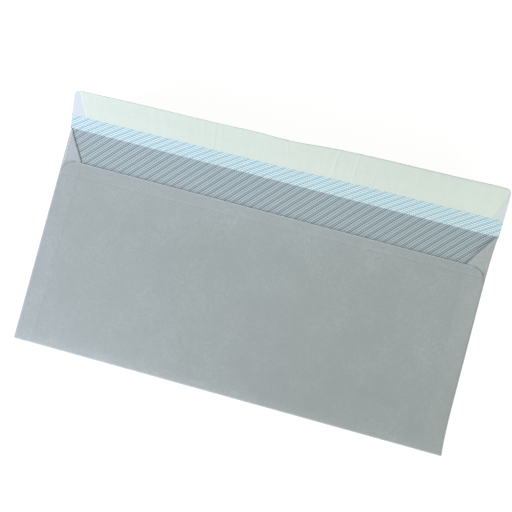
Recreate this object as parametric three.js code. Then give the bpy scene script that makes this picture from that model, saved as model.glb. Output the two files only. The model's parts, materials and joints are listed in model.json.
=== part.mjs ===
// Self-seal envelope in the long format that takes a letter sheet folded in three.
// It lies on its address side with the seal flap raised and the release strip still on the flap.
// Sizes are in millimetres. X runs along the envelope, Y towards the seal flap and Z up.
// The origin is the centre of the address side, on the surface that the envelope lies on.

import * as THREE from 'three';

// Format
const envelopeLength = 220;
const envelopeDepth = 110;          // bottom fold to flap crease

// Sheet and layers
const paperThickness = 0.1;
const pocketGap = 0.2;              // free height between the front panel and the side flaps
const seamGlueThickness = 0.03;
const adhesiveThickness = 0.03;
const stripThickness = 0.06;
const filmGap = 0.02;               // between the layers on the raised flap

// Side flaps
const leftFlapWidth = 9.6;          // outer edge of the fold to the inner edge
const rightFlapWidth = 11.4;
const shoulderStart = 0.3;          // crease to the top of the slanted shoulder, at the fold
const shoulderLap = 1.2;            // how far the shoulder runs on under the back panel
const lowerSlant = 6.5;             // rise of the slanted lower end, fold to inner edge
const lowerStart = 0.6;             // bottom fold to the lower end, at the fold
const sideFlapCornerRadius = 2.5;

// Back panel
const throatDepth = 16;             // crease to the upper edge of the back panel
const backPanelInset = 0.8;         // outer edge of the side fold to the side edge of the back panel
const backPanelCornerRadius = 6.5;

// Glued seams
const seamGlueWidth = 5.5;
const seamGlueInset = 2;            // outer edge of the side fold to the glue
const seamGlueTop = 4;              // upper edge of the back panel to the glue
const seamGlueBottom = 10;          // bottom fold to the glue
const seamGlueCornerRadius = 1.5;

// Seal flap
const flapHeight = 34;
const flapEndTaper = 3.7;           // how much each end draws in from the crease to the top
const flapCornerRadius = 3.5;
const flapRaised = 52;              // degrees from lying open, in line with the front panel
const creaseClearance = 0.3;        // front panel to flap when the flap lies open
const closedClearance = 0.05;       // back panel to release strip when the flap is closed

// Adhesive band and release strip, measured from the crease
const bareBand = 12;                // crease to the lower edge of the release strip
const stripLeftInset = 8.5;         // end of the envelope to the strip's lower left corner
const stripLeftFlare = 0.8;         // how much further out its upper left corner lies
const stripRightInset = 5.8;        // end of the envelope to its lower right corner
const adhesiveStart = 18;
const adhesiveWidth = 11;
const adhesiveEndInset = 12;
const adhesiveCornerRadius = 2;

// Roundness of the drawn curves
const cornerSteps = 10;
const foldSteps = 12;

// Levels of the layers, worked out upwards from the surface under the envelope
const frontTop = paperThickness;
const sideBottom = frontTop + pocketGap;
const sideTop = sideBottom + paperThickness;
const backBottom = sideTop + seamGlueThickness;
const backTop = backBottom + paperThickness;

// A fold is a half circle of the sheet, so its outer radius is half of what it wraps
const sideFoldRadius = sideTop / 2;
const bottomFoldRadius = backTop / 2;

const halfLength = envelopeLength / 2;
const halfDepth = envelopeDepth / 2;
const creaseY = halfDepth;
const bottomY = -halfDepth;
const throatY = creaseY - throatDepth;

// The crease turns about an axis halfway between the flap lying open and the flap closed
const layersOnFlap = 2 * filmGap + adhesiveThickness + stripThickness;
const closedFlapMiddle = backTop + closedClearance + layersOnFlap + paperThickness / 2;
const creaseAxisZ = (paperThickness / 2 + closedFlapMiddle) / 2;

const outsidePaper = { color: 0xa5aeb3, roughness: 0.85, metalness: 0 };
const insidePaper = { color: 0xa7b8be, roughness: 0.85, metalness: 0 };
const releasePaper = { color: 0xb3bdb6, roughness: 0.5, metalness: 0 };
const driedGlue = { color: 0xb9bcb4, roughness: 0.4, metalness: 0 };
const tackyGlue = { color: 0xd5d6cc, roughness: 0.25, metalness: 0 };

function piece(name, geometry, finish) {
  const mesh = new THREE.Mesh(geometry, new THREE.MeshStandardMaterial(finish));
  mesh.name = name;
  return mesh;
}

// Closed outline through corners [x, y, radius], listed counter-clockwise, each rounded by an arc
function roundedOutline(corners) {
  const outline = new THREE.Shape();
  const count = corners.length;
  corners.forEach(([x, y, radius = 0], index) => {
    const corner = new THREE.Vector2(x, y);
    const before = new THREE.Vector2(...corners[(index + count - 1) % count]);
    const after = new THREE.Vector2(...corners[(index + 1) % count]);
    const back = before.sub(corner).normalize();
    const ahead = after.sub(corner).normalize();
    const halfAngle = Math.acos(back.dot(ahead)) / 2;
    const reach = radius / Math.tan(halfAngle);
    const first = corner.clone().addScaledVector(back, reach);
    if (index === 0) outline.moveTo(first.x, first.y);
    else outline.lineTo(first.x, first.y);
    if (radius === 0) return;
    const middle = back.clone().add(ahead).normalize();
    const centre = corner.clone().addScaledVector(middle, radius / Math.sin(halfAngle));
    const last = corner.clone().addScaledVector(ahead, reach);
    const startAngle = Math.atan2(first.y - centre.y, first.x - centre.x);
    const endAngle = Math.atan2(last.y - centre.y, last.x - centre.x);
    outline.absarc(centre.x, centre.y, radius, startAngle, endAngle, false);
  });
  outline.closePath();
  return outline;
}

// Flat layer of the given outline, from one level up to the next
function layer(outline, bottom, top) {
  const geometry = new THREE.ExtrudeGeometry(outline, {
    depth: top - bottom, bevelEnabled: false, curveSegments: cornerSteps,
  });
  return geometry.translate(0, 0, bottom);
}

// Half round of the sheet that wraps layers up to a level, drawn with its open side towards +X
function foldProfile(outerRadius) {
  const innerRadius = outerRadius - paperThickness;
  const profile = new THREE.Shape();
  profile.moveTo(0, -outerRadius);
  profile.absarc(0, 0, outerRadius, -Math.PI / 2, Math.PI / 2, true);
  profile.lineTo(0, innerRadius);
  profile.absarc(0, 0, innerRadius, Math.PI / 2, -Math.PI / 2, false);
  profile.closePath();
  return profile;
}

// Fold of the given length, starting at the origin and running along +Y with its open side towards +X
function foldedEdge(outerRadius, length) {
  const geometry = new THREE.ExtrudeGeometry(foldProfile(outerRadius), {
    depth: length, bevelEnabled: false, curveSegments: foldSteps,
  });
  return geometry.rotateX(-Math.PI / 2);
}

// Front panel, the address side, flat between the two side folds and above the bottom fold
function frontPanel() {
  const side = halfLength - sideFoldRadius;
  const low = bottomY + bottomFoldRadius;
  const high = creaseY - creaseClearance / 2;
  const outline = roundedOutline([[-side, low], [side, low], [side, high], [-side, high]]);
  return piece('front_panel', layer(outline, 0, frontTop), outsidePaper);
}

// Side fold, from beside the bottom fold up to the start of the shoulder
function sideFold(name, side) {
  const low = bottomY + lowerStart;
  const high = creaseY - shoulderStart;
  const fold = piece(name, foldedEdge(sideFoldRadius, high - low), outsidePaper);
  const turn = side > 0 ? Math.PI : 0;
  const start = side > 0 ? high : low;
  fold.rotation.z = turn;
  fold.position.set(side * (halfLength - sideFoldRadius), start, sideFoldRadius);
  return fold;
}

// Side flap with its slanted shoulder, straight inner edge and slanted lower end
function sideFlap(name, side, width) {
  const outer = halfLength - sideFoldRadius;
  const inner = halfLength - width;
  const high = creaseY - shoulderStart;
  const shoulder = throatY - shoulderLap;
  const low = bottomY + lowerStart;
  const heel = low + lowerSlant;
  const corners = [
    [outer, low], [outer, high], [inner, shoulder, sideFlapCornerRadius], [inner, heel, sideFlapCornerRadius],
  ];
  const placed = side > 0 ? corners : corners.map(([x, y, radius]) => [-x, y, radius]).reverse();
  return piece(name, layer(roundedOutline(placed), sideBottom, sideTop), outsidePaper);
}

// Glued seam between a side flap and the back panel
function seamGlue(name, side) {
  const outer = halfLength - seamGlueInset;
  const inner = outer - seamGlueWidth;
  const low = bottomY + seamGlueBottom;
  const high = throatY - seamGlueTop;
  const left = side > 0 ? inner : -outer;
  const right = side > 0 ? outer : -inner;
  const round = seamGlueCornerRadius;
  const outline = roundedOutline([
    [left, low, round], [right, low, round], [right, high, round], [left, high, round],
  ]);
  return piece(name, layer(outline, sideTop, backBottom), driedGlue);
}

// Bottom fold, as wide as the back panel
function bottomFold() {
  const width = envelopeLength - 2 * backPanelInset;
  const fold = piece('bottom_fold', foldedEdge(bottomFoldRadius, width), outsidePaper);
  fold.rotation.z = Math.PI / 2;
  fold.position.set(width / 2, bottomY + bottomFoldRadius, bottomFoldRadius);
  return fold;
}

// Back panel, folded up over the side flaps, with round upper corners at the throat
function backPanel() {
  const side = halfLength - backPanelInset;
  const low = bottomY + bottomFoldRadius;
  const round = backPanelCornerRadius;
  const outline = roundedOutline([
    [-side, low], [side, low], [side, throatY, round], [-side, throatY, round],
  ]);
  return piece('back_panel', layer(outline, backBottom, backTop), outsidePaper);
}

// What turns at the crease is drawn lying open, with Y measured from the crease
function sealFlap() {
  const start = creaseClearance / 2;
  const top = halfLength - flapEndTaper;
  const foot = halfLength - flapEndTaper * start / flapHeight;
  const round = flapCornerRadius;
  const outline = roundedOutline([
    [-foot, start], [foot, start], [top, flapHeight, round], [-top, flapHeight, round],
  ]);
  return piece('seal_flap', layer(outline, 0, paperThickness), insidePaper);
}

function adhesiveBand() {
  const side = halfLength - adhesiveEndInset;
  const low = adhesiveStart;
  const high = adhesiveStart + adhesiveWidth;
  const bottom = paperThickness + filmGap;
  const round = adhesiveCornerRadius;
  const outline = roundedOutline([
    [-side, low, round], [side, low, round], [side, high, round], [-side, high, round],
  ]);
  return piece('adhesive_band', layer(outline, bottom, bottom + adhesiveThickness), tackyGlue);
}

// Release strip, flush with the top of the flap and trimmed with it at the upper right corner
function releaseStrip() {
  const left = -halfLength + stripLeftInset;
  const right = halfLength - stripRightInset;
  const topRight = halfLength - flapEndTaper;
  const bottom = paperThickness + adhesiveThickness + 2 * filmGap;
  const outline = roundedOutline([
    [left, bareBand],
    [right, bareBand],
    [topRight, flapHeight, flapCornerRadius],
    [left - stripLeftFlare, flapHeight],
  ]);
  return piece('release_strip', layer(outline, bottom, bottom + stripThickness), releasePaper);
}

// The raised flap with what it carries, turned about the crease axis
function raisedFlap() {
  const crease = new THREE.Group();
  crease.position.set(0, creaseY, creaseAxisZ);
  crease.rotation.x = THREE.MathUtils.degToRad(flapRaised);
  const sheets = new THREE.Group();
  sheets.position.z = -creaseAxisZ;
  sheets.add(sealFlap(), adhesiveBand(), releaseStrip());
  crease.add(sheets);
  return crease;
}

const group = new THREE.Group();
group.add(
  frontPanel(),
  sideFold('left_fold', -1),
  sideFold('right_fold', 1),
  sideFlap('left_side_flap', -1, leftFlapWidth),
  sideFlap('right_side_flap', 1, rightFlapWidth),
  seamGlue('left_seam_glue', -1),
  seamGlue('right_seam_glue', 1),
  bottomFold(),
  backPanel(),
  raisedFlap(),
);

export default group;
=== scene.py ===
"""A long peel-and-seal envelope that lies seam side up with its flap raised.

The envelope is one sheet of paper, cut, folded and glued. Each panel is a thin closed sheet round
a middle surface, which is a function of two parameters worked out as whole arrays. Every sheet
carries its place on the flat blank as a UV map, so the security tint runs on over the crease.
Lengths are in metres. X runs along the envelope, Y towards the seal flap and Z up.
"""

import json
import math

import bpy
import numpy as np
from bpy.props import FloatProperty, FloatVectorProperty, PointerProperty
from mathutils import Matrix, Vector


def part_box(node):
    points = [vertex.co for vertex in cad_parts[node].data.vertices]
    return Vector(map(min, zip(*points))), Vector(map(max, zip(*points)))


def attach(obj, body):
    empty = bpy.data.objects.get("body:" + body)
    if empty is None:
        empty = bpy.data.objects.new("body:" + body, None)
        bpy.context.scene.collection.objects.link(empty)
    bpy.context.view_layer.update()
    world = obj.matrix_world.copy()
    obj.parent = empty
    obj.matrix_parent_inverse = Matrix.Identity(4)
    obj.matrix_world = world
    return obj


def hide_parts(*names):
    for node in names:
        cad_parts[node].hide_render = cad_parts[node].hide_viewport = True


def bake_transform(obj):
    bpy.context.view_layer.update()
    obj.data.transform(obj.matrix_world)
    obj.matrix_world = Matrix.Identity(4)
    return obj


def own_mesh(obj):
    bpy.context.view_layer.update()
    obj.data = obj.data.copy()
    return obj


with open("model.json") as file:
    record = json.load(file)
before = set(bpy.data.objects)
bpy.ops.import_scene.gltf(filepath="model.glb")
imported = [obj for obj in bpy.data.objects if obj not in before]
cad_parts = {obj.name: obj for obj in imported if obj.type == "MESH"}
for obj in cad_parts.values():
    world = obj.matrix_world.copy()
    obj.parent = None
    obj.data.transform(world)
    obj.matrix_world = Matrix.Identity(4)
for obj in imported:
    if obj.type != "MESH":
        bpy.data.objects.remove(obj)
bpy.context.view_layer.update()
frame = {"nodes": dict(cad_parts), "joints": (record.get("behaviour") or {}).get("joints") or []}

bl_info = {
    "name": "Self-seal envelope",
    "version": (1, 0, 0),
    "blender": (4, 5, 0),
    "location": "View3D > Sidebar > Envelope",
    "description": "Builds a peel-and-seal envelope from one folded sheet of tinted paper",
    "category": "Object",
}

MM = 0.001

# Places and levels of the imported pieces, each as its lowest and highest corner
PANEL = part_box("front_panel")
LEFT_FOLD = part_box("left_fold")
RIGHT_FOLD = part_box("right_fold")
LEFT_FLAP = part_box("left_side_flap")
RIGHT_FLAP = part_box("right_side_flap")
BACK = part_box("back_panel")

# Direction along the length, fold and flap of each side
SIDES = {"left": (-1, LEFT_FOLD, LEFT_FLAP), "right": (1, RIGHT_FOLD, RIGHT_FLAP)}

THICKNESS = PANEL[1].z - PANEL[0].z
HALF_LENGTH = RIGHT_FOLD[1].x
CREASE_JOINT = next(joint for joint in frame["joints"] if joint["name"] == "flap_fold")
CREASE_Y, CREASE_Z = CREASE_JOINT["pos_m"][1:]
FLAP_REST = math.radians(-CREASE_JOINT["range_deg"][0])
SHEET_BELOW_AXIS = CREASE_Z - THICKNESS / 2

# How far up the flap the sheet of the crease reaches
CREASE_RUN = 0.6 * MM
# Faces that meet at a larger angle than this show a sharp edge
SHARP_ANGLE = math.radians(50)


def number(name, description, value, **more):
    """A plain number that the user can change."""
    return FloatProperty(name=name, description=description, default=value, **more)


def share(name, description, value):
    """A share from 0 to 1 that the user can change."""
    return number(name, description, value, min=0.0, max=1.0, subtype="FACTOR")


def length(name, description, millimetres):
    """A length that the user can change, given in millimetres and kept in metres."""
    return number(name, description, millimetres * MM, unit="LENGTH", precision=5)


def degrees(name, description, value):
    """An angle that the user can change, given in degrees and kept in radians."""
    return number(name, description, math.radians(value), subtype="ANGLE")


def place(name, description, *millimetres):
    """A point that the user can change, given in millimetres and kept in metres."""
    return FloatVectorProperty(
        name=name, description=description, default=[value * MM for value in millimetres],
        subtype="TRANSLATION", unit="LENGTH", precision=5,
    )


def linear(byte):
    """Light of one channel of a screen colour that runs from 0 to 255."""
    value = byte / 255
    return value / 12.92 if value <= 0.04045 else ((value + 0.055) / 1.055) ** 2.4


def screen_colour(name, description, *channels):
    """A colour that the user can change, given as a screen colour from 0 to 255."""
    return FloatVectorProperty(
        name=name, description=description, default=[linear(channel) for channel in channels],
        subtype="COLOR", min=0.0, max=1.0,
    )


class PocketSettings(bpy.types.PropertyGroup):
    """Outlines and folds of the pocket."""

    shoulder_start: length("Shoulder start", "Crease to the top of the side flaps' shoulders", 0.3)
    shoulder_slope: number("Shoulder slope", "Drop of the shoulders per unit of width", 1.63)
    left_shoulder: length("Left shoulder", "Side fold to the start of the left slope", 0.1)
    right_shoulder: length("Right shoulder", "Side fold to the start of the right slope", 1.3)
    lower_slant: length("Lower slant", "Rise of the side flaps' lower ends", 6.5)
    flap_corner: length("Side flap corner", "Radius of the side flaps' inner corners", 1.0)
    free_shoulder: length("Free shoulder", "Depth over which the shoulders lie free", 13.5)
    shoulder_lift: length("Shoulder lift", "How far the free shoulders stand up", 0.17)
    side_bow: length("Side bow", "How far the right side draws in at mid-depth", 1.0)
    throat_drop: length("Throat drop", "How far the throat lies below the flat one", 0.4)
    throat_skew: length("Throat skew", "How much the throat's ends are off square", 0.25)
    back_corner: length("Back panel corner", "Radius of the back panel's upper corners", 6.4)
    corner_lift: length("Corner lift", "How far the upper corners stand up", 0.12)
    press_depth: length("Pressed line", "Crease to the pressed line, at mid-length", 22.1)
    press_slant: number("Slant of the pressed line", "Its rise per unit of length", 0.0145)
    press_tilt: degrees("Tilt of the throat", "Tilt of the panel above the pressed line", 0.6)
    press_groove: length("Depth of the pressed line", "Depth of its groove", 0.045)
    side_step: length("Step", "Drop of the back panel beyond the side flaps", 0.1)
    step_width: length("Step width", "Distance over which the panel drops", 1.3)
    lip: length("Lip", "How far the panel stands up at the side flaps' edges", 0.02)
    fold_run: length("Fold run", "Distance over which the panel comes clear of its fold", 7.0)
    cockle: length("Cockle", "Height of the paper's gentle waves", 0.05)
    # Painted highlights along the side folds, stronger on the left, where the left lamp lights
    # them.
    fold_highlight_left: share("Worn left fold", "How far the left fold is rubbed light", 0.6)
    fold_highlight_right: share("Worn right fold", "How far the right fold is rubbed light", 0.2)


class FlapSettings(bpy.types.PropertyGroup):
    """Shape of the seal flap and of what lies on it."""

    height: length("Flap height", "Crease to the top of the flap", 33.4)
    left_flare: length("Left flare", "How far the left end stands out at the crease", 0.5)
    right_flare: length("Right flare", "How far the right end stands out at the crease", 0.3)
    left_taper: length("Left taper", "How much the left end draws in towards the top", 4.6)
    right_taper: length("Right taper", "How much the right end draws in towards the top", 4.0)
    lean: length("Lean", "How far the twist moves the top of the flap to the right", 1.4)
    left_corner: length("Left corner", "Radius of the upper left corner", 3.8)
    right_corner: length("Right corner", "Radius of the upper right corner", 3.0)
    raised: degrees("Raised", "Angle of the flap at mid-length, from lying open", 58.6)
    twist: degrees("Twist", "How much less the right end is raised than the middle", 3.85)
    kink: degrees("Kink", "Half of the extra drop at the soft bend across the flap", 1.5)
    kink_place: length("Kink place", "Where along the flap the soft bend lies", 15.0)
    kink_width: length("Kink width", "Width of the soft bend", 14.0)
    edge_curl: length("Edge curl", "How far the top edge curls back", 0.22)
    wave: length("Wave", "Height of the waves along the flap's top edge", 0.25)
    bare_band: length("Bare band", "Crease to the lower edge of the release strip", 12.0)
    strip_left: length("Strip's left end", "Envelope's end to the strip's lower left corner", 8.4)
    strip_flare: length("Strip's flare", "How much further out its upper left corner lies", 1.85)
    strip_right: length("Strip's right end", "Envelope's end to its lower right corner", 6.8)
    strip_margin: length("Strip margin", "Edge of the flap to the edge of the strip", 0.35)
    strip_thickness: length("Strip thickness", "Thickness of the release strip", 0.06)
    warm_edge: length("Warm edge", "Width of the warmer tone along the strip's lower edge", 2.5)
    wrinkle: length("Wrinkle", "Height of the strip's fine upright wrinkles", 0.12)
    adhesive_start: length("Adhesive start", "Crease to the adhesive band", 18.0)
    adhesive_width: length("Adhesive width", "Width of the adhesive band", 11.0)
    adhesive_inset: length("Adhesive inset", "End of the envelope to the end of the band", 12.0)
    adhesive_corner: length("Adhesive corner", "Radius of the corners of the band", 2.0)
    adhesive_thickness: length("Adhesive thickness", "Thickness of the adhesive band", 0.03)
    film_gap: length("Film gap", "Free space between the layers on the flap", 0.02)


class TintSettings(bpy.types.PropertyGroup):
    """The security tint that is printed on the inside of the sheet."""

    pitch: length("Pitch", "Distance from one repeat to the next, square to the lines", 3.338)
    angle: degrees("Angle", "Slope of the lines against the length of the envelope", 46.8)
    strong_line: share("Strong line", "Place of the strong line across the repeat", 0.855)
    strong_width: length("Strong width", "Width of the strong line", 0.34)
    fine_line: share("Fine line", "Place of the fine line across the repeat", 0.615)
    fine_width: length("Fine width", "Width of the fine line", 0.25)
    ring_row: share("Ring row", "Place of the row of rings across the repeat", 0.225)
    ring_spacing: length("Ring spacing", "Distance from ring to ring along the row", 1.2)
    ring_radius: length("Ring radius", "Radius of the middle of a ring's line", 0.24)
    ring_line: length("Ring line", "Width of a ring's line", 0.19)
    soft_edge: length("Soft edge", "Width over which the ink fades into the paper", 0.05)


class ColourSettings(bpy.types.PropertyGroup):
    """Colours of the paper, the print and the glue."""

    outside: screen_colour("Outside", "Paper on the outside of the envelope", 163, 171, 170)
    inside: screen_colour("Inside", "Paper on the inside, where it isn't printed", 184, 190, 196)
    # Flap wash and ink: painted light shining through. Pocket copies: painted shade.
    ground: screen_colour("Ground", "Pale wash between the lines of the tint", 187, 202, 204)
    pocket_ground_painted_shade: screen_colour("Pocket ground", "The same wash in the pocket", 182, 192, 193)
    ink: screen_colour("Ink", "Ink of the security tint on the flap", 48, 124, 160)
    pocket_ink_painted_shade: screen_colour("Pocket ink", "The same ink in the pocket", 60, 112, 131)
    # Colour of the cut edges, which painted light and highlights also mix in.
    cut: screen_colour("Cut edge", "Cut edges and worn folds of the paper", 208, 214, 218)
    # Dark grey of painted shade and shadows, and of the paper's real dark specks.
    painted_light_and_shade: screen_colour("Rubbed edge", "Paper that is soiled along a loose edge", 104, 108, 112)
    strip: screen_colour("Release strip", "Siliconised release paper", 189, 198, 192)
    strip_warm: screen_colour("Strip, warm", "Lower edge of the release paper", 191, 198, 184)
    adhesive: screen_colour("Adhesive", "Pressure-sensitive adhesive", 200, 206, 204)
    seam: screen_colour("Seam glue", "Dried glue of the seams", 185, 188, 180)


class StageSettings(bpy.types.PropertyGroup):
    """Floor, light and camera."""

    floor_drop: length("Floor drop", "How far the floor lies below the envelope", 0.1)
    floor_size: length("Floor size", "Length of the floor's side", 6000.0)
    floor_tone: share("Floor tone", "Share of the light that the floor throws back", 0.9)
    floor_white: share("White floor", "Share of plain white in the floor that is seen", 0.85)
    floor_glow: number("Floor glow", "Strength of the plain white", 1.1)
    floor_near: length("Near floor", "Distance up to which the floor shows the shadow", 350.0)
    floor_far: length("Far floor", "Distance from which the floor is plain white", 900.0)
    sky: share("Sky", "Strength of the even light from all round", 0.471)
    sky_colour: screen_colour("Sky colour", "Colour of the even light", 255, 252, 240)
    left_power: number("Left lamp", "Power of the lamp", 3.5, subtype="POWER")
    left_place: place("Left lamp's place", "Where it stands", -474.0, -254.0, 300.0)
    left_size: length("Left lamp's size", "Length of its side", 260.0)
    left_colour: screen_colour("Left light", "Colour of the lamp", 226, 230, 255)
    right_power: number("Right lamp", "Power of the lamp", 22.2, subtype="POWER")
    right_place: place("Right lamp's place", "Where it stands", 1200.0, -1200.0, 300.0)
    right_size: length("Right lamp's size", "Length of its side", 400.0)
    right_colour: screen_colour("Right light", "Colour of the lamp", 252, 255, 236)
    camera_place: place("Camera place", "Where the camera stands", 46.9, -2.9, 543.9)
    camera_aim: place("Camera aim", "Point that the camera looks at", -2.46, 16.07, 0.0)
    camera_turn: degrees("Camera turn", "Turn of the picture about the line of sight", 15.05)
    camera_lens: number("Lens", "Focal length of the camera", 77.34, unit="CAMERA")
    camera_film: number("Film", "Width of the camera's film", 36.0, unit="CAMERA")
    pixel_filter: number("Pixel filter", "Width of the smoothing", 1.4, subtype="PIXEL")


class EnvelopeSettings(bpy.types.PropertyGroup):
    """All the settings of the envelope and its stage."""

    pocket: PointerProperty(type=PocketSettings, name="Pocket", description="Shape of the pocket")
    flap: PointerProperty(type=FlapSettings, name="Flap", description="Shape of the seal flap")
    tint: PointerProperty(type=TintSettings, name="Tint", description="Print on the inside")
    colours: PointerProperty(type=ColourSettings, name="Colours", description="Colours")
    stage: PointerProperty(type=StageSettings, name="Stage", description="Floor, light, camera")


# Shader maths

class Signal:
    """A value in a shader. Python's operators on it add Math nodes."""

    def __init__(self, graph, socket):
        self.graph = graph
        self.socket = socket

    def maths(self, operation, first, second=None):
        """A Math node of the given operation on one value or on two."""
        values = {0: first} if second is None else {0: first, 1: second}
        return self.graph.node("ShaderNodeMath", {"operation": operation}, values)

    def __add__(self, other):
        return self.maths("ADD", self, other)

    def __sub__(self, other):
        return self.maths("SUBTRACT", self, other)

    def __rsub__(self, other):
        return self.maths("SUBTRACT", other, self)

    def __mul__(self, other):
        return self.maths("MULTIPLY", self, other)

    def __truediv__(self, other):
        return self.maths("DIVIDE", self, other)

    def __rtruediv__(self, other):
        return self.maths("DIVIDE", other, self)

    def __pow__(self, other):
        return self.maths("POWER", self, other)

    def __rpow__(self, other):
        return self.maths("POWER", other, self)

    def __abs__(self):
        return self.maths("ABSOLUTE", self)

    __radd__ = __add__
    __rmul__ = __mul__

    def fraction(self):
        """What is left of the value after its whole part."""
        return self.maths("FRACT", self)

    def most(self, other):
        """The larger of two values."""
        return self.maths("MAXIMUM", self, other)

    def ramp(self, low, high):
        """A smooth rise from 0 at low to 1 at high."""
        values = {"Value": self, "From Min": low, "From Max": high}
        return self.graph.node("ShaderNodeMapRange", {"interpolation_type": "SMOOTHSTEP"}, values)


class Graph:
    """A node tree, and one method that adds any node to it."""

    def __init__(self, tree):
        self.tree = tree
        tree.nodes.clear()

    def feed(self, socket, value):
        """Links a signal to a socket, or sets the socket to a plain value."""
        if isinstance(value, Signal):
            self.tree.links.new(value.socket, socket)
        else:
            socket.default_value = value

    def node(self, kind, settings=None, inputs=None, output=0):
        """Adds a node, with its settings first, then its inputs, and returns one output."""
        node = self.tree.nodes.new(kind)
        for name, value in (settings or {}).items():
            setattr(node, name, value)
        for key, value in (inputs or {}).items():
            self.feed(node.inputs[key], value)
        return Signal(self, node.outputs[output]) if node.outputs else node

    def mix(self, factor, first, second):
        """Colour between the first, at factor 0, and the second, at factor 1."""
        settings = {"data_type": "RGBA", "clamp_factor": True}
        first, second = (c if isinstance(c, Signal) else (*c, 1.0) for c in (first, second))
        return self.node("ShaderNodeMix", settings, {0: factor, 6: first, 7: second}, 2)

    def noise(self, size, detail, stretch=(1.0, 1.0, 1.0)):
        """Noise from 0 to 1 whose blots are about the given size, in metres."""
        point = self.node("ShaderNodeTexCoord", output="Object")
        scaled = self.node("ShaderNodeMapping", inputs={"Vector": point, "Scale": stretch})
        inputs = {"Vector": scaled, "Scale": 1 / size, "Detail": detail, "Roughness": 0.6}
        return self.node("ShaderNodeTexNoise", {"noise_dimensions": "3D"}, inputs)

    def blotch(self, *noise):
        """The same noise with more contrast, still from 0 to 1."""
        return self.noise(*noise).ramp(0.3, 0.7)

    def bump(self, height, distance):
        """Normal of a relief whose height runs from 0 to 1 times the distance."""
        return self.node("ShaderNodeBump", inputs={"Height": height, "Distance": distance})

    def seen(self):
        """1 for what the camera, a reflection or a clear body sees, and 0 for the light."""
        rays = ("Is Camera Ray", "Is Glossy Ray", "Is Transmission Ray")
        camera, glossy, through = (self.node("ShaderNodeLightPath", output=ray) for ray in rays)
        return camera.most(glossy.most(through))


class Finish(Graph):
    """A material with one Principled shader."""

    def __init__(self, name):
        self.material = bpy.data.materials.new(name)
        self.material.use_nodes = True
        super().__init__(self.material.node_tree)

    def surface(self, **inputs):
        """Adds the Principled shader with its own sockets, named with _ for a space."""
        named = {name.replace("_", " "): value for name, value in inputs.items()}
        self.output(self.node("ShaderNodeBsdfPrincipled", inputs=named))
        return self.material

    def output(self, shader):
        """Makes a shader the one that shows."""
        self.node("ShaderNodeOutputMaterial", inputs={"Surface": shader})

    def blank_place(self):
        """Place on the flat blank in millimetres, along the crease and up from it."""
        vector = self.node("ShaderNodeUVMap", {"uv_map": "blank"})
        across, up = (
            self.node("ShaderNodeSeparateXYZ", inputs={"Vector": vector}, output=axis)
            for axis in "XY"
        )
        return across / MM, up / MM

    def wear(self):
        """How far a piece is made lighter and how far darker: mostly painted light and shade."""
        wear = self.node("ShaderNodeAttribute", {"attribute_name": "wear"}, output="Fac")
        return wear.most(0.0), (0.0 - wear).most(0.0)


def shade(colour, factor):
    """The colour made lighter or darker by a factor."""
    return tuple(min(1.0, channel * factor) for channel in colour)


def fibre_relief(finish):
    """Fine felted relief of paper: grains of half a millimetre over flat clouds of three."""
    return finish.noise(0.55 * MM, 5.0) * 0.7 + finish.noise(3.0 * MM, 3.0) * 0.5


def mottled(finish, colour, strength):
    """Colour of felted fibres: flecks, small clouds and wide clouds."""
    dull, pale = (shade(colour, 1 + change * strength) for change in (-0.1, 0.1))
    fleck = finish.blotch(0.8 * MM, 5.0)
    cloud = finish.blotch(3.4 * MM, 3.0)
    broad = finish.blotch(19.0 * MM, 2.0)
    tone = finish.mix(cloud * 0.4, finish.mix(fleck, dull, pale), dull)
    return fleck, finish.mix(broad * 0.6, tone, dull)


def paper_finish(name, colour, colours):
    """Uncoated paper: mottled, with a few dark specks, and painted light and shade."""
    finish = Finish(name)
    fleck, tone = mottled(finish, shade(colour, 1.07), 1.0)
    speck = finish.noise(1.1 * MM, 2.0).ramp(0.69, 0.78)
    # The paper's real dark specks, in the grey of the painted shade.
    tone = finish.mix(speck * 0.4, tone, colours.painted_light_and_shade)
    # Painted light and highlights mix towards the cut edges' colour, painted shade towards dark
    # grey.
    light, dark = finish.wear()
    tone = finish.mix(light * (0.6 + fleck * 0.4), tone, colours.cut)
    tone = finish.mix(dark * (0.7 + fleck * 0.3), tone, colours.painted_light_and_shade)
    return finish.surface(
        Base_Color=tone, Roughness=0.82 + fleck * 0.1, Specular_IOR_Level=0.3,
        Normal=finish.bump(fibre_relief(finish), 0.05 * MM),
    )


def tint_ink(finish, settings):
    """Ink of the tint: two lines and a row of evenly spaced rings to each slanted repeat.

    The repeat's phase runs from 0 to 1 across the lines. The rings are fainter in the pocket."""
    tint = settings.tint
    pitch = tint.pitch / MM
    soft = tint.soft_edge / MM
    along, up = finish.blank_place()
    slope = (math.cos(tint.angle), math.sin(tint.angle))
    phase = ((along * slope[1] - up * slope[0]) / pitch).fraction()

    def line(distance, width):
        """A line of the given width, 1 on it and 0 beside it, in millimetres."""
        half = width / MM / 2
        return 1 - distance.ramp(half - soft, half + soft)

    strong = line(abs(phase - tint.strong_line) * pitch, tint.strong_width)
    fine = line(abs(phase - tint.fine_line) * pitch, tint.fine_width)
    spacing = tint.ring_spacing / MM
    beside = (((along * slope[0] + up * slope[1]) / spacing).fraction() - 0.5) * spacing
    across = (phase - tint.ring_row) * pitch
    radius = (beside * beside + across * across) ** 0.5
    ring = line(abs(radius - tint.ring_radius / MM), tint.ring_line)
    ring = ring * (0.75 + up.ramp(-soft, soft) * 0.2)
    return strong.most(fine).most(ring) * (0.86 + finish.noise(0.7 * MM, 3.0) * 0.2)


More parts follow.
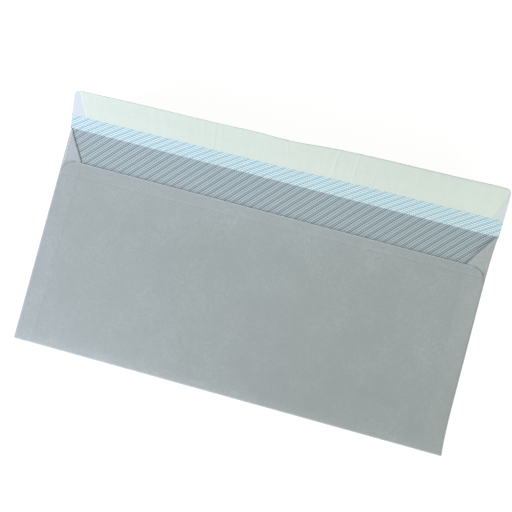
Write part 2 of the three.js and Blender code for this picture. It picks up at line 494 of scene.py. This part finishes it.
def tinted_finish(name, settings):
    """Inside of the sheet: lighter paper with the security tint on a pale wash.

    The print ends where the release strip starts. Its duller colours in the pocket are painted
    shade, and its brighter ones on the raised flap painted light that shines through it."""
    finish = Finish(name)
    colours = settings.colours
    fleck, tone = mottled(finish, shade(colours.inside, 1.02), 0.5)
    light, dark = finish.wear()
    up = finish.blank_place()[1]
    edge = settings.flap.bare_band / MM
    soft = settings.tint.soft_edge / MM
    printed = 1 - up.ramp(edge - soft, edge + soft)
    # Lit and shaded copies of the print: painted light on the raised flap, painted shade in the
    # pocket.
    raised = up.ramp(-soft, soft)
    wash = finish.mix(raised, colours.pocket_ground_painted_shade, colours.ground)
    ink = finish.mix(raised, colours.pocket_ink_painted_shade, colours.ink)
    stain = finish.mix(fleck * 0.04, wash, ink)
    tone = finish.mix(printed, tone, finish.mix(tint_ink(finish, settings), stain, ink))
    # Painted light and highlights, then painted shade.
    tone = finish.mix(light * 0.6, tone, colours.cut)
    tone = finish.mix(dark, tone, colours.painted_light_and_shade)
    return finish.surface(
        Base_Color=tone, Roughness=0.8 + fleck * 0.1, Specular_IOR_Level=0.3,
        Normal=finish.bump(fibre_relief(finish), 0.03 * MM),
    )


def strip_finish(settings):
    """Siliconised release paper: smooth, with a dull sheen, and warmer at its lower edge."""
    finish = Finish("siliconised_paper")
    colours = settings.colours
    edge = settings.flap.bare_band / MM
    up = finish.blank_place()[1]
    cloud = finish.blotch(9.0 * MM, 3.0)
    fleck = finish.blotch(1.1 * MM, 4.0)
    streak = finish.blotch(2.6 * MM, 3.0, (1.0, 0.12, 0.12))
    warm = (1 - up.ramp(edge, edge + settings.flap.warm_edge / MM)) * 0.6 + cloud * 0.15
    tone = finish.mix(warm, colours.strip, colours.strip_warm)
    tone = finish.mix(streak * 0.6, tone, shade(colours.strip, 1.06))
    tone = finish.mix(fleck * 0.4, tone, shade(colours.strip, 0.92))
    # Lit and shaded copies of the strip's colour: painted highlights and painted shade.
    light, dark = finish.wear()
    tone = finish.mix(light, tone, shade(colours.strip, 1.25))
    tone = finish.mix(dark, tone, shade(colours.strip, 0.55))
    relief = fibre_relief(finish) * 0.4 + streak * 0.6
    return finish.surface(
        Base_Color=tone, Roughness=0.5 + cloud * 0.12, Specular_IOR_Level=0.4,
        Normal=finish.bump(relief, 0.03 * MM),
    )


def glue_finish(name, colour, roughness):
    """Glue: streaky where it was spread, with a wet or dry gloss."""
    finish = Finish(name)
    streak = finish.blotch(1.4 * MM, 3.0, (0.15, 1.0, 1.0))
    tone = finish.mix(streak, shade(colour, 0.94), shade(colour, 1.05))
    return finish.surface(
        Base_Color=tone, Roughness=roughness + streak * 0.12,
        Normal=finish.bump(streak, 0.03 * MM),
    )


# Surfaces

def smooth(value):
    """Smooth rise from 0 to 1: three times the square less twice the cube, held at the ends."""
    value = np.clip(value, 0.0, 1.0)
    return value * value * (3.0 - 2.0 * value)


def ease(value, start, run):
    """The same rise of a length, from a start and over a run that are given in millimetres."""
    return smooth((value - start * MM) / (run * MM))


def bell(value, width, centre=0.0):
    """Bell of height 1: e to the power of minus the square of a length's distance from the centre
    over the width, both given in millimetres."""
    return np.exp(-(((value - centre * MM) / (width * MM)) ** 2))


def graded(*stretches, corner=0.0, turns=0):
    """Steps along a line: each stretch (end, step) runs on from the last, (start,) comes first.

    A corner goes on from there over its radius, by so many equal turns of a quarter circle."""
    values = [np.array([stretches[0][0]])]
    for end, step in stretches[1:]:
        start = values[-1][-1]
        count = max(1, round(abs(end - start) / step))
        values.append(np.linspace(start, end, count + 1)[1:])
    angle = np.linspace(0.0, np.pi / 2, turns + 1)[1:]
    return np.concatenate([*values, values[-1][-1] + corner * np.sin(angle)])


def round_in(distance, radius):
    """How far a rounded corner lies inside its square one: radius less the root of its square
    less the square of the distance gone into the corner."""
    gone = np.clip(distance, 0.0, radius)
    return radius - np.sqrt(np.maximum(radius * radius - gone * gone, 0.0))


def closed_sheet(name, surface, thickness, finishes):
    """Closed thin sheet round a surface: its middle, blank places, tone marks and painted shading.

    The normal at each point is the cross product of the steps along the columns and along the
    rows. The faces lie half a thickness away along it and against it, and quads round the rim
    join them. The finishes are those of the first face, of the other one and of the rim."""
    middle, blank, wear = surface
    rows, columns = middle.shape[:2]
    count = rows * columns
    normal = np.cross(np.gradient(middle, axis=1), np.gradient(middle, axis=0))
    normal /= np.linalg.norm(normal, axis=2, keepdims=True)
    shift = normal * thickness / 2
    points = np.concatenate([(middle + shift).reshape(-1, 3), (middle - shift).reshape(-1, 3)])
    index = np.arange(count).reshape(rows, columns)
    corners = [index[:-1, :-1], index[:-1, 1:], index[1:, 1:], index[1:, :-1]]
    upper = np.stack(corners, axis=-1).reshape(-1, 4)
    lower = upper[:, ::-1] + count
    ring = np.concatenate([index[0, :-1], index[:-1, -1], index[-1, :0:-1], index[:0:-1, 0]])
    following = np.roll(ring, -1)
    rim = np.stack([ring, ring + count, following + count, following], axis=-1)
    quads = np.concatenate([upper, lower, rim])
    mesh = bpy.data.meshes.new(name)
    mesh.from_pydata(points, [], quads.tolist())
    for finish in finishes:
        mesh.materials.append(finish)
    kinds = np.repeat([0, 1, 2], [len(upper), len(lower), len(rim)])
    mesh.polygons.foreach_set("material_index", kinds % len(finishes))
    places = blank.reshape(-1, 2)[quads.reshape(-1) % count]
    mesh.uv_layers.new(name="blank").data.foreach_set("uv", places.ravel())
    # The per-point attribute holds tone marks and painted light and shade.
    painted_light_and_wear = np.broadcast_to(wear, (2, rows, columns)).ravel()
    mesh.attributes.new("wear", "FLOAT", "POINT").data.foreach_set("value", painted_light_and_wear)
    mesh.shade_smooth()
    mesh.set_sharp_from_angle(angle=SHARP_ANGLE)
    mesh.update()
    piece = bpy.data.objects.new(name, mesh)
    bpy.context.collection.objects.link(piece)
    return piece


def paper_sheet(name, surface, settings):
    """Sheet of the folded paper, with its inside first, its outside next and its cut edge last."""
    names = ("tinted_inside", "plain_outside", "cut_edge")
    if names[0] not in bpy.data.materials:
        colours = settings.colours
        tinted_finish(names[0], settings)
        paper_finish(names[1], colours.outside, colours)
        paper_finish(names[2], colours.cut, colours)
    finishes = [bpy.data.materials[finish] for finish in names]
    return closed_sheet(name, surface, THICKNESS, finishes)


def stacked(*parts):
    """Grids of coordinates, broadcast together, as the last axis of one grid."""
    return np.stack(np.broadcast_arrays(*parts), axis=-1)


def folded(level, onward, turns):
    """Sheet that comes up to a level round a half circle and runs straight on: each step's
    distance past the circle's middle, height and path from the circle's foot, and the radius."""
    radius = (level - THICKNESS / 2) / 2
    angle = np.linspace(-np.pi / 2, np.pi / 2, turns + 1)
    reach = np.concatenate([-radius * np.cos(angle), onward])
    rise = np.concatenate([level - radius + radius * np.sin(angle), np.full(len(onward), level)])
    path = np.concatenate([radius * (angle + np.pi / 2), radius * np.pi + onward])
    return reach[:, None], rise[:, None], path[:, None], radius


def drawn_in(x, y, pocket):
    """Place along the envelope once its right side has drawn in.

    The shift grows with the square of the distance from the middle, and along the side it is one
    less the sixth power of the distance from mid-depth."""
    part = np.clip(x / HALF_LENGTH, 0.0, 1.0)
    depth = (y - PANEL[0].y) / (CREASE_Y - PANEL[0].y) * 2 - 1
    return x - pocket.side_bow * part * part * (1 - np.clip(np.abs(depth), 0.0, 1.0) ** 6)


def front_panel_surface(pocket):
    """Flat panel on the floor: x and y themselves, at half a thickness above the floor.

    A bell of painted light lightens the shade of the back panel's edge just beyond the throat."""
    throat = BACK[1].y
    x = graded((PANEL[0].x,), (PANEL[1].x, 2.0 * MM))[None, :]
    y = graded(
        (PANEL[0].y,), (throat - 2.0 * MM, 2.0 * MM), (throat + 2.0 * MM, 0.2 * MM),
        (PANEL[1].y, 2.0 * MM),
    )[:, None]
    middle = stacked(drawn_in(x, y, pocket), y, PANEL[0].z + THICKNESS / 2)
    # Painted light just beyond the throat, against the shade of the back panel's edge.
    painted_light_and_wear = 0.2 * bell(y - throat + pocket.throat_drop, 0.4, 0.35)
    return middle, stacked(x, y - CREASE_Y), painted_light_and_wear


def side_flap_surface(name, pocket):
    """Side fold and side flap in one sheet.

    The path goes round the fold, a half circle, and straight on inwards. The flap's upper end is
    the shoulder, a straight slope that a circle joins to the inner edge, and its lower end a
    slope that mirrors it. The free part of the shoulder stands up by the square of a sine. Its
    fold has a painted highlight, its bare part painted light and its edge a painted shadow."""
    side, fold, flap = SIDES[name]
    inner, outer = sorted(abs(corner.x) for corner in flap)
    width = outer - inner
    inset, painted_light_and_wear = getattr(pocket, f"{name}_shoulder"), getattr(pocket, f"fold_highlight_{name}")
    corner = pocket.flap_corner
    inward = graded(
        (0.0,), (1.2 * MM, 0.12 * MM), (width - corner, 0.5 * MM), corner=corner, turns=10
    )[1:]
    reach, rise, path, _ = folded((flap[0].z + flap[1].z) / 2, inward, turns=12)
    gone = np.clip(reach, 0.0, width)

    def end(start, slope, foot):
        """Distance of a sloping end from its start: the line, then the circle that meets it."""
        line = start + slope * np.maximum(gone - foot, 0.0)
        root = math.sqrt(1 + slope * slope)
        centre = start + slope * (width - corner - foot) + corner * root
        touch = width - corner + corner * slope / root
        bent = centre - corner + round_in(gone - width + corner, corner)
        return np.where(gone < touch, line, bent)

    high = CREASE_Y - end(pocket.shoulder_start, pocket.shoulder_slope, inset)
    low = fold[0].y + end(0.0, pocket.lower_slant / width, 0.0)
    along = graded((0.0,), (0.8, 0.02), (0.99, 0.008), (1.0, 0.0025))[None, :]
    y = low + (high - low) * along
    free = np.sin(np.pi * np.clip((CREASE_Y - y) / pocket.free_shoulder, 0.0, 1.0)) ** 2
    z = rise + pocket.shoulder_lift * free * smooth(reach / width)
    # Painted light on the bare shoulder, painted highlight on the fold, painted shadow at the
    # edge.
    bare = ease(y - BACK[1].y, -3.0, 2.0)
    painted_light_and_shade = painted_light_and_wear * (1 - ease(reach, 0.7, 0.5)) + 0.42 * bare * ease(reach, 0.0, 1.0)
    painted_edge_shadow = 1.3 * bell(high - y, 0.8) * ease(reach, 0.5, 1.0)
    wear = painted_light_and_shade - painted_edge_shadow
    middle = stacked(drawn_in(side * (outer - reach), y, pocket), y, z)
    blank = stacked(side * (outer + path), y - CREASE_Y)
    if side > 0:
        middle, blank, wear = middle[:, ::-1], blank[:, ::-1], wear[:, ::-1]
    return middle, blank, wear


def clear_of_fold(y, pocket):
    """Share that is 0 at the bottom fold and 1 where the back panel has come clear of it."""
    return smooth((y - BACK[0].y) / pocket.fold_run)


def back_panel_height(x, y, pocket):
    """Height of the back panel over its plain level.

    It drops by a step between the side flaps, tilts up above a pressed line, dips in a groove
    along that line and cockles in shallow waves. Its upper corners stand up a little."""
    step = pocket.step_width
    inner = smooth((x - LEFT_FLAP[1].x) / step) * smooth((RIGHT_FLAP[0].x - x) / step)
    above = y - (CREASE_Y - pocket.press_depth + pocket.press_slant * x)
    bend = 0.5 * MM
    tilt = math.tan(pocket.press_tilt) * (above + np.sqrt(above * above + bend * bend)) / 2
    lips = bell(x - LEFT_FLAP[1].x, 0.7) + bell(x - RIGHT_FLAP[0].x, 0.7)
    waves = np.sin(x / (14.0 * MM) + 2.1 * np.sin(y / (31.0 * MM))) * np.sin(y / (17.0 * MM) + 0.8)
    waves = pocket.cockle * waves * inner * (1 - smooth(above / bend))
    ends = ease(-x, 102.5, 6.0) + ease(x, 104.5, 4.0)
    clear = clear_of_fold(y, pocket)
    height = tilt * (0.25 + 0.75 * inner) - pocket.press_groove * bell(above, 0.4)
    height += pocket.corner_lift * ends * ease(above, 0.0, 6.0)
    return height + (pocket.lip * lips - pocket.side_step * inner + waves) * clear


def back_panel_painted_shading(x, y, foot, top, pocket):
    """Painted light and shade of the back panel between its foot in the bottom fold and its top.

    Painted highlights run along the fold and along the throat's lit edge, and painted shadows
    round the corners. The parts over the side flaps get a little painted light, and wide areas
    a little painted light and shade."""
    side, corner = BACK[1].x, pocket.back_corner
    beyond = (np.abs(x) - side + corner) / corner, (y - top + corner) / corner
    in_corner = np.clip(beyond[0], 0.0, 1.0) * np.clip(beyond[1], 0.0, 1.0) > 0.02
    fading = 1 - 0.5 * ease(x, -30.0, 90.0)
    # Painted highlight along the bottom fold, stronger towards the left.
    fold = 0.9 * bell(y - foot, 0.5) + 0.3 * fading * bell(y - foot, 4.0)
    # Painted highlight on the throat's lit cut edge.
    throat = 0.55 * bell(top - y, 0.3, 0.1) * (np.abs(x) < side - corner)
    # Painted shadow under the lifted upper corners.
    arc = 0.65 * bell(corner * (1 - np.hypot(*beyond)), 0.3) * in_corner
    # Painted light over the side flaps.
    over_flaps = ease(LEFT_FLAP[1].x - x, 0.0, 2.0) + ease(x - RIGHT_FLAP[0].x, 0.0, 2.0)
    clear = clear_of_fold(y, pocket)
    # Wide areas of painted light and shade.
    painted_shading_patches = sum(
        size * bell(x, wide, across) * bell(y, tall, up)
        for across, up, wide, tall, size in (
            (88.0, 5.0, 14.0, 30.0, 0.08), (108.0, 18.0, 7.0, 26.0, 0.18),
            (0.0, 38.0, 120.0, 16.0, 0.13), (45.0, -38.0, 62.0, 24.0, -0.11),
            (-62.0, -50.0, 30.0, 8.0, 0.10),
        )
    )
    return fold + throat - arc + painted_shading_patches + 0.06 * over_flaps * clear


def back_panel_surface(pocket):
    """Bottom fold and back panel in one sheet.

    The path goes round the fold, a half circle, and straight on to the throat, where the width
    draws in along a quarter circle at each corner. The throat is a little off square, and the
    panel widens again just above the fold."""
    low, side = BACK[0].y, BACK[1].x
    top = BACK[1].y - pocket.throat_drop
    corner = pocket.back_corner
    start = top - corner
    onward = graded(
        (low,), (low + 2.0 * MM, 0.2 * MM), (low + 6.0 * MM, 0.6 * MM),
        (start - 4.0 * MM, 1.2 * MM), (start, 0.3 * MM), corner=corner, turns=30,
    )[1:] - low
    reach, rise, path, radius = folded((BACK[0].z + BACK[1].z) / 2, onward, turns=16)
    y = low + reach
    foot = (PANEL[1].x - side) * (1 - ease(y - low, 0.0, 1.5))
    half = side - round_in(y - start, corner) + foot
    inner = (LEFT_FLAP[1].x / side, RIGHT_FLAP[0].x / side)
    near = 2 * pocket.step_width / side
    step = MM / side
    across = graded(
        (-1.0,), (-1.0 + step, 0.12 * step), (inner[0] - near, 0.75 * step),
        (inner[0] + near, 0.25 * step), (inner[1] - near, 1.5 * step),
        (inner[1] + near, 0.25 * step), (1.0 - step, 0.75 * step), (1.0, 0.12 * step),
    )[None, ::-1]
    x = across * half
    past_fold = (np.arange(len(y)) >= len(y) - len(onward))[:, None]
    z = rise + np.where(past_fold, back_panel_height(x, y, pocket), 0.0)
    skew = pocket.throat_skew * x / HALF_LENGTH * smooth((y - low) / (top - low))
    blank = stacked(x, path - radius * np.pi + low - CREASE_Y)
    wear = back_panel_painted_shading(x, y, low - radius, top, pocket)
    return stacked(drawn_in(x, y, pocket), y - skew, z), blank, wear


def flap_angle(x, flap):
    """Angle of the flap along the crease: a steady twist and a soft bend, a hyperbolic tangent."""
    bend = flap.kink * np.tanh((x - flap.kink_place) / flap.kink_width)
    return np.maximum(flap.raised - flap.twist * x / HALF_LENGTH - bend, FLAP_REST)


def flap_point(x, up, lift, angle):
    """Point of the raised flap, up from the crease and lifted off the sheet's middle.

    The pair (up, lift less the sheet's depth below the axis) is turned about the crease axis."""
    depth = SHEET_BELOW_AXIS - lift
    y = CREASE_Y + up * np.cos(angle) + depth * np.sin(angle)
    z = CREASE_Z + up * np.sin(angle) - depth * np.cos(angle)
    return stacked(x, y, z)


def flap_relief(x, up, flap):
    """Waves of the flap's sheet, two sines and a few bells along it, which grow with the square
    of a smooth rise towards its top, less the curl of its top edge."""
    high = smooth(up / flap.height)
    waves = np.sin(x / (9.5 * MM)) * 0.35 + np.sin(x / (23.0 * MM) + 1.0) * 0.65
    crests = ((-16.0, 8.0, -0.9), (4.0, 10.0, 1.6), (28.0, 10.0, 0.3), (98.0, 9.0, -1.4))
    crest = sum(size * bell(x, wide, centre) for centre, wide, size in crests)
    curl = ease(up - flap.height, -1.6, 1.6) * ease(x, -20.0, 60.0)
    return high * high * flap.wave * (0.5 * waves + crest) - flap.edge_curl * curl


def flap_end(side, up, flap):
    """Left or right end of the flap along the blank: it tapers evenly to a round corner."""
    flare, taper, corner = (
        getattr(flap, f"{side}_{size}") for size in ("flare", "taper", "corner")
    )
    reach = HALF_LENGTH + flare - taper * up / flap.height
    return SIDES[side][0] * (reach - round_in(up - flap.height + corner, corner))


def on_flap(x, up, lift, flap):
    """Point over the raised flap from its place on the blank, which the twist moves along in
    proportion to its height, and from its lift off the wavy sheet's middle."""
    leant = x + flap.lean * up / flap.height
    return flap_point(leant, up, flap_relief(leant, up, flap) + lift, flap_angle(leant, flap))


def seal_flap_surface(flap):
    """Raised flap: each column turned to its own angle, between two tapered ends."""
    corner = max(flap.left_corner, flap.right_corner)
    straight = flap.height - corner
    up = graded((CREASE_RUN,), (straight, 1.0 * MM), corner=corner, turns=16)[:, None]
    across = graded((0.0,), (1.0, 1.3 * MM / (2 * HALF_LENGTH)))[None, :]
    left, right = (flap_end(side, up, flap) for side in SIDES)
    x = left + (right - left) * across
    return on_flap(x, up, 0.0, flap), stacked(x, up), 0.0


def crease_surface(flap):
    """Crease between the front panel and the flap.

    A short flat run of the panel, an arc about the crease axis up to the flap's own angle, and a
    short straight run of the flap. The rows follow the arc by equal angles."""
    left, right = (flap_end(side, 0.0, flap) for side in SIDES)
    x = graded((left,), (right, 1.3 * MM))[None, :]
    flat_run = CREASE_Y - PANEL[1].y
    arc = np.linspace(0.0, 1.0, 13)
    beyond = np.linspace(0.0, CREASE_RUN, 4)[1:]
    turned = np.concatenate([np.zeros(2), arc, np.ones(len(beyond))])[:, None]
    run = np.concatenate([[-flat_run, -flat_run / 2], np.zeros(len(arc)), beyond])[:, None]
    middle = flap_point(x, run, 0.0, turned * flap_angle(x, flap))
    path = np.linspace(-flat_run, CREASE_RUN, len(run))[:, None]
    # Lighter along the middle of the crease's bend.
    painted_light_and_wear = 0.5 * np.exp(-(((turned - 0.5) / 0.4) ** 2))
    return middle, stacked(x, path), painted_light_and_wear


def wrinkles(x, above, aside=0.0):
    """Height of the strip's fine upright wrinkles, moved aside by so many millimetres: a sum of
    bells, each across a line that may slope."""
    lines = (
        (-66.0, 0.0, 0.9, 0.3), (-41.7, 0.0, 0.9, 0.3), (-35.9, 0.0, 0.5, 0.8),
        (-23.3, 0.0, 0.9, 0.4), (3.1, -0.2, 0.5, 0.7), (23.2, 0.05, 0.5, 1.0),
        (33.6, 0.0, 0.5, 1.2), (43.4, 0.0, 0.5, 0.5),
    )
    return sum(
        size * bell(x - slope * above, wide, centre + aside)
        for centre, slope, wide, size in lines
    )


def strip_surface(flap, lift):
    """Release strip: lies on the flap, with fine upright wrinkles, and is trimmed with it.

    A slow sine makes the wrinkles come and go, and each gets a painted highlight on one side and
    painted shade on the other. The strip is darker over the adhesive, with painted shade towards
    its top and right, and above it the strip lies right on the flap."""
    low, high = flap.bare_band, flap.height - flap.strip_margin
    corner = flap.right_corner
    up = graded((low,), (high - corner, 1.0 * MM), corner=corner, turns=12)[:, None]
    part = (up - low) / (high - low)
    left = -HALF_LENGTH + flap.strip_left - flap.strip_flare * part
    right = HALF_LENGTH - flap.strip_right
    right = right + (flap_end("right", flap.height - corner, flap) - right) * part
    right = right - round_in(up - high + corner, corner)
    across = graded((0.0,), (0.005, 0.0008), (0.14, 0.004), (0.73, 0.0012), (1.0, 0.004))[None, :]
    x = left + (right - left) * across
    up = up + flap.strip_margin * part * (1 - ease(x, -40.0, 60.0))
    above = up - low
    sway = 0.65 + 0.35 * np.sin(up / (4.5 * MM) + x / (11.0 * MM))
    touching = (THICKNESS + flap.strip_thickness + flap.film_gap) / 2
    free = lift + flap.wrinkle * wrinkles(x, above) * sway
    free -= ease(up - high, -2.5, 2.5) * (lift - touching)
    # Darker over the adhesive, and painted shade towards the top and the right, where the strip
    # curls back.
    glue_tone_and_painted_shade = 0.05 * ease(up, 19.8, 1.4) + 0.03 * ease(up, 23.0, 6.0) * ease(x, -5.0, 15.0)
    glue_tone_and_painted_shade += 0.04 * ease(x, 20.0, 30.0) * (1 - ease(x, 80.0, 15.0))
    # Painted highlight and painted shade on either side of each wrinkle.
    painted_wrinkle_shading = 0.2 * wrinkles(x, above, -0.35) - 0.14 * wrinkles(x, above, 0.35)
    # A light line along the left cut edge.
    wear = 0.8 * bell(x - left, 0.3) - glue_tone_and_painted_shade + painted_wrinkle_shading * sway
    return on_flap(x, up, free, flap), stacked(x, up), wear


def adhesive_surface(flap, lift):
    """Adhesive band: a rectangle with round corners on the blank, laid over the raised flap."""
    low, width = flap.adhesive_start, flap.adhesive_width
    corner = flap.adhesive_corner
    turn = np.sin(np.linspace(0.0, np.pi / 2, 8)) * corner
    lower = low + corner - turn[::-1]
    upper = low + width - corner + turn
    middle = np.linspace(lower[-1], upper[0], 10)[1:-1]
    up = np.concatenate([lower, middle, upper])[:, None]
    beyond = np.maximum(low + corner - up, up - low - width + corner)
    half = HALF_LENGTH - flap.adhesive_inset - round_in(beyond, corner)
    x = half * np.linspace(-1.0, 1.0, 140)[None, :]
    return on_flap(x, up, lift, flap), stacked(x, up), 0.0


def flatten_when_closed(piece, lift):
    """Gives a piece a mesh of its own, and finds its level on the closed flap, which is not used.
    """
    anchor = flap_point(np.zeros(1), 0.0, lift, FLAP_REST)[0]
    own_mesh(piece)


# Operators

class ENVELOPE_OT_front_panel(bpy.types.Operator):
    """Make the front panel, the address side, with its tinted inside"""

    bl_idname = "envelope.front_panel"
    bl_label = "Front panel"

    def execute(self, context):
        settings = context.scene.envelope
        surface = front_panel_surface(settings.pocket)
        piece = paper_sheet("front_panel_sheet", surface, settings)
        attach(piece, "pocket")
        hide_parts("front_panel")
        return {"FINISHED"}


class ENVELOPE_OT_side_flaps(bpy.types.Operator):
    """Make both side flaps with their folds and shoulders"""

    bl_idname = "envelope.side_flaps"
    bl_label = "Side flaps"

    def execute(self, context):
        settings = context.scene.envelope
        for name in SIDES:
            surface = side_flap_surface(name, settings.pocket)
            piece = paper_sheet(f"{name}_side_flap_sheet", surface, settings)
            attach(piece, "pocket")
            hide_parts(f"{name}_side_flap", f"{name}_fold")
        return {"FINISHED"}


class ENVELOPE_OT_back_panel(bpy.types.Operator):
    """Make the back panel with the bottom fold and the throat"""

    bl_idname = "envelope.back_panel"
    bl_label = "Back panel"

    def execute(self, context):
        settings = context.scene.envelope
        surface = back_panel_surface(settings.pocket)
        piece = paper_sheet("back_panel_sheet", surface, settings)
        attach(piece, "pocket")
        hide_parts("back_panel", "bottom_fold")
        return {"FINISHED"}


class ENVELOPE_OT_glued_seams(bpy.types.Operator):
    """Finish the dried glue of the two seams"""

    bl_idname = "envelope.glued_seams"
    bl_label = "Glued seams"

    def execute(self, context):
        finish = glue_finish("seam_glue", context.scene.envelope.colours.seam, roughness=0.45)
        for name in ("left_seam_glue", "right_seam_glue"):
            materials = frame["nodes"][name].data.materials
            materials.clear()
            materials.append(finish)
        return {"FINISHED"}


class ENVELOPE_OT_seal_flap(bpy.types.Operator):
    """Make the seal flap and the crease that joins it to the front panel"""

    bl_idname = "envelope.seal_flap"
    bl_label = "Seal flap"

    def execute(self, context):
        settings = context.scene.envelope
        piece = paper_sheet("seal_flap_sheet", seal_flap_surface(settings.flap), settings)
        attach(piece, "flap")
        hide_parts("seal_flap")
        flatten_when_closed(piece, 0.0)
        crease = paper_sheet("flap_crease_sheet", crease_surface(settings.flap), settings)
        start = flap_point(np.zeros(1), 0.0, 0.0, 0.0)[0]
        end = flap_point(np.zeros(1), 0.0, 0.0, FLAP_REST)[0]
        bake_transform(crease)
        return {"FINISHED"}


class ENVELOPE_OT_adhesive(bpy.types.Operator):
    """Make the adhesive band on the seal flap"""

    bl_idname = "envelope.adhesive"
    bl_label = "Adhesive band"

    def execute(self, context):
        settings = context.scene.envelope
        flap = settings.flap
        foot = THICKNESS / 2 + flap.film_gap
        surface = adhesive_surface(flap, foot + flap.adhesive_thickness / 2)
        finish = glue_finish("flap_adhesive", settings.colours.adhesive, roughness=0.2)
        piece = closed_sheet("adhesive_band_film", surface, flap.adhesive_thickness, [finish])
        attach(piece, "flap")
        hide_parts("adhesive_band")
        flatten_when_closed(piece, foot)
        return {"FINISHED"}


class ENVELOPE_OT_release_strip(bpy.types.Operator):
    """Make the release strip that covers the adhesive"""

    bl_idname = "envelope.release_strip"
    bl_label = "Release strip"

    def execute(self, context):
        settings = context.scene.envelope
        flap = settings.flap
        foot = THICKNESS / 2 + 2 * flap.film_gap + flap.adhesive_thickness
        surface = strip_surface(flap, foot + flap.strip_thickness / 2)
        finish = strip_finish(settings)
        piece = closed_sheet("release_strip_paper", surface, flap.strip_thickness, [finish])
        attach(piece, "strip")
        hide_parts("release_strip")
        flatten_when_closed(piece, foot)
        return {"FINISHED"}


def make_world(stage):
    """Even light from all round, seen as white."""
    world = bpy.data.worlds.new("studio")
    bpy.context.scene.world = world
    world.use_nodes = True
    graph = Graph(world.node_tree)
    lit, bright = (
        graph.node("ShaderNodeBackground", inputs={"Color": (*colour, 1.0), "Strength": strength})
        for colour, strength in ((stage.sky_colour, stage.sky), ((1.0, 1.0, 1.0), 1.0))
    )
    mixed = graph.node("ShaderNodeMixShader", inputs={0: graph.seen(), 1: lit, 2: bright})
    graph.node("ShaderNodeOutputWorld", inputs={"Surface": mixed})


def make_floor(stage):
    """White floor that keeps the envelope's shadow and is plain white further off."""
    half = stage.floor_size / 2
    square = ((-1, -1), (1, -1), (1, 1), (-1, 1))
    corners = [(x * half, y * half, -stage.floor_drop) for x, y in square]
    mesh = bpy.data.meshes.new("floor")
    mesh.from_pydata(corners, [], [(0, 1, 2, 3)])
    floor = bpy.data.objects.new("floor", mesh)
    bpy.context.collection.objects.link(floor)
    finish = Finish("floor")
    grey = (stage.floor_tone, stage.floor_tone, stage.floor_tone, 1.0)
    matte = finish.node("ShaderNodeBsdfDiffuse", inputs={"Color": grey})
    glow = finish.node("ShaderNodeEmission", inputs={"Strength": stage.floor_glow})
    point = finish.node("ShaderNodeTexCoord", output="Object")
    away = finish.node("ShaderNodeVectorMath", {"operation": "LENGTH"}, {0: point}, 1)
    far = away.ramp(stage.floor_near, stage.floor_far)
    part = finish.seen() * (far * (1 - stage.floor_white) + stage.floor_white)
    finish.output(finish.node("ShaderNodeMixShader", inputs={0: part, 1: matte, 2: glow}))
    mesh.materials.append(finish.material)


def make_lamp(side, stage):
    """Square soft lamp on one side, which faces the middle of the envelope."""
    name = f"{side}_lamp"
    where = getattr(stage, f"{side}_place")
    lamp = bpy.data.lights.new(name, "AREA")
    lamp.size = getattr(stage, f"{side}_size")
    lamp.energy = getattr(stage, f"{side}_power")
    lamp.color = getattr(stage, f"{side}_colour")
    holder = bpy.data.objects.new(name, lamp)
    bpy.context.collection.objects.link(holder)
    holder.location = where
    holder.rotation_euler = (-Vector(where)).to_track_quat("-Z", "Y").to_euler()


def make_camera(stage):
    """Camera almost straight above, turned about its line of sight."""
    camera = bpy.data.cameras.new("camera")
    camera.lens = stage.camera_lens
    camera.sensor_width = stage.camera_film
    camera.clip_start = 0.01
    holder = bpy.data.objects.new("camera", camera)
    bpy.context.collection.objects.link(holder)
    where = Vector(stage.camera_place)
    ahead = (Vector(stage.camera_aim) - where).normalized()
    turn = stage.camera_turn
    right = ahead.cross(Vector((-math.sin(turn), math.cos(turn), 0.0))).normalized()
    up = right.cross(ahead)
    turned = Matrix((right, up, -ahead)).transposed().to_4x4()
    holder.matrix_world = Matrix.Translation(where) @ turned
    bpy.context.scene.camera = holder


class ENVELOPE_OT_stage(bpy.types.Operator):
    """Make the floor, the light and the camera"""

    bl_idname = "envelope.stage"
    bl_label = "Stage"

    def execute(self, context):
        stage = context.scene.envelope.stage
        context.scene.view_settings.view_transform = "Standard"
        context.scene.cycles.filter_width = stage.pixel_filter
        make_camera(stage)
        make_world(stage)
        make_floor(stage)
        for side in SIDES:
            make_lamp(side, stage)
        return {"FINISHED"}


class ENVELOPE_PT_panel(bpy.types.Panel):
    """Lists the pieces of the envelope"""

    bl_idname = "ENVELOPE_PT_panel"
    bl_label = "Self-seal envelope"
    bl_space_type = "VIEW_3D"
    bl_region_type = "UI"
    bl_category = "Envelope"

    def draw(self, context):
        for operator in OPERATORS:
            self.layout.operator(operator.bl_idname)


OPERATORS = (
    ENVELOPE_OT_stage,
    ENVELOPE_OT_front_panel,
    ENVELOPE_OT_side_flaps,
    ENVELOPE_OT_back_panel,
    ENVELOPE_OT_glued_seams,
    ENVELOPE_OT_seal_flap,
    ENVELOPE_OT_adhesive,
    ENVELOPE_OT_release_strip,
)

CLASSES = (
    PocketSettings, FlapSettings, TintSettings, ColourSettings, StageSettings, EnvelopeSettings,
    *OPERATORS, ENVELOPE_PT_panel,
)


def register():
    """Adds the settings, the operators and the panel."""
    for item in CLASSES:
        bpy.utils.register_class(item)
    bpy.types.Scene.envelope = PointerProperty(
        type=EnvelopeSettings, name="Envelope", description="Settings of the envelope"
    )


def unregister():
    """Takes them away again."""
    del bpy.types.Scene.envelope
    for item in reversed(CLASSES):
        bpy.utils.unregister_class(item)


def main():
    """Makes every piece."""
    register()
    for operator in OPERATORS:
        family, name = operator.bl_idname.split(".")
        getattr(getattr(bpy.ops, family), name)()


if __name__ == "__main__":
    main()
